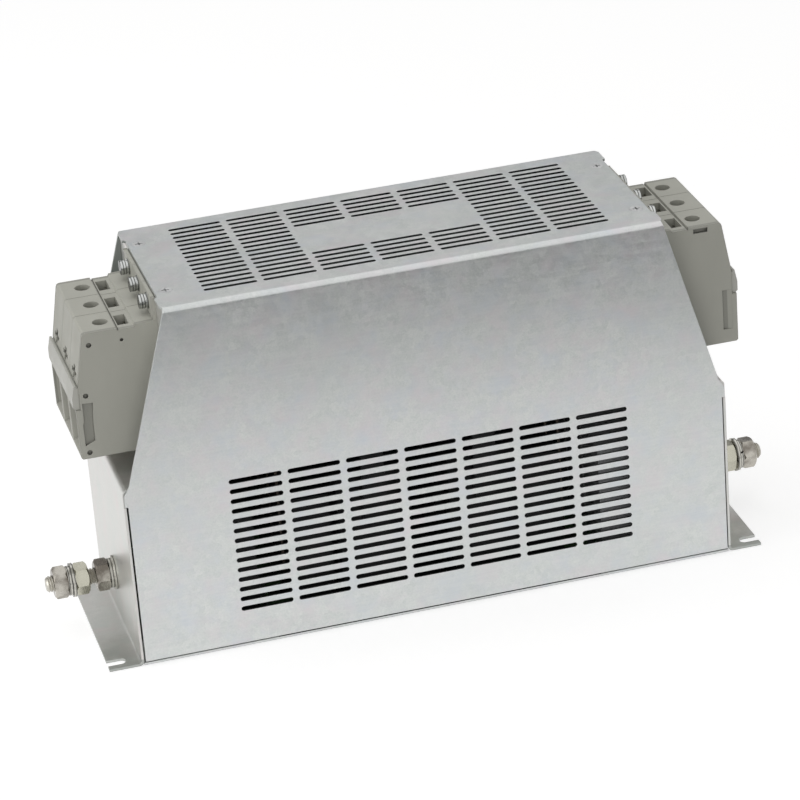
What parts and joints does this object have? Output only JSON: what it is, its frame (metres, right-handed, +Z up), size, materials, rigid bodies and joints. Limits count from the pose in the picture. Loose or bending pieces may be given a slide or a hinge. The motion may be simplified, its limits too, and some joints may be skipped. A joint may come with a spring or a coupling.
{
  "type": "three phase EMI line filter",
  "caption": "Line filter in a slotted folded sheet steel case with foot flanges, grey clamp terminal blocks and an earthing stud at both ends.",
  "frame": {"origin": "on the mounting surface, under the middle of the case", "axes": "+X from the line end to the load end, +Y from the front to the back, +Z up"},
  "size_m": [0.45, 0.1274, 0.222],
  "materials": {
    "blue_epoxy": "epoxy coat",
    "board": "glass epoxy board",
    "capacitor_grey": "light grey capacitor case",
    "copper": "tinned copper, dull",
    "core_metal": "nanocrystalline core in a coated case",
    "dark_plastic": "black moulded plastic",
    "plated_steel": "nickel plated, half bright",
    "strip_plastic": "light grey moulded polyamide",
    "terminal_plastic": "warm grey moulded polyamide",
    "zinc_sheet": "galvanised, matt, with a fine spangle"
  },
  "bodies": {
    "root": {"base_tray": "zinc_sheet", "line_end_wall": "zinc_sheet", "load_end_wall": "zinc_sheet", "cover": "zinc_sheet", "cover_screws": "plated_steel", "cover_nuts": "plated_steel", "line_terminal_1": "terminal_plastic", "line_terminal_2": "terminal_plastic", "line_terminal_3": "terminal_plastic", "load_terminal_1": "terminal_plastic", "load_terminal_2": "terminal_plastic", "load_terminal_3": "terminal_plastic", "line_marker_strip": "strip_plastic", "load_marker_strip": "strip_plastic", "line_clamp_cages": "plated_steel", "load_clamp_cages": "plated_steel", "line_clamp_screws": "plated_steel", "load_clamp_screws": "plated_steel", "line_bridge_contacts": "plated_steel", "load_bridge_contacts": "plated_steel", "line_fixing_screws": "plated_steel", "load_fixing_screws": "plated_steel", "line_fixing_nuts": "plated_steel", "load_fixing_nuts": "plated_steel", "line_earth_stud": "plated_steel", "load_earth_stud": "plated_steel", "line_earth_nuts": "plated_steel", "load_earth_nuts": "plated_steel", "line_earth_washers": "plated_steel", "load_earth_washers": "plated_steel", "line_spring_washers": "plated_steel", "load_spring_washers": "plated_steel", "line_earth_link": "copper", "load_earth_link": "copper", "phase_bar_1": "copper", "phase_bar_2": "copper", "phase_bar_3": "copper", "line_core": "core_metal", "load_core": "core_metal", "line_bar_carrier": "dark_plastic", "load_bar_carrier": "dark_plastic", "line_core_saddle": "dark_plastic", "load_core_saddle": "dark_plastic", "line_core_strap": "plated_steel", "load_core_strap": "plated_steel", "line_board": "board", "load_board": "board", "board_posts": "plated_steel", "line_x_capacitors": "dark_plastic", "load_x_capacitors": "capacitor_grey", "line_inner_capacitors": "dark_plastic", "load_inner_capacitors": "dark_plastic", "y_capacitors": "blue_epoxy", "discharge_resistors": "blue_epoxy", "line_tap_links": "copper", "load_tap_links": "copper", "tap_screws": "plated_steel"}
  },
  "joints": []
}
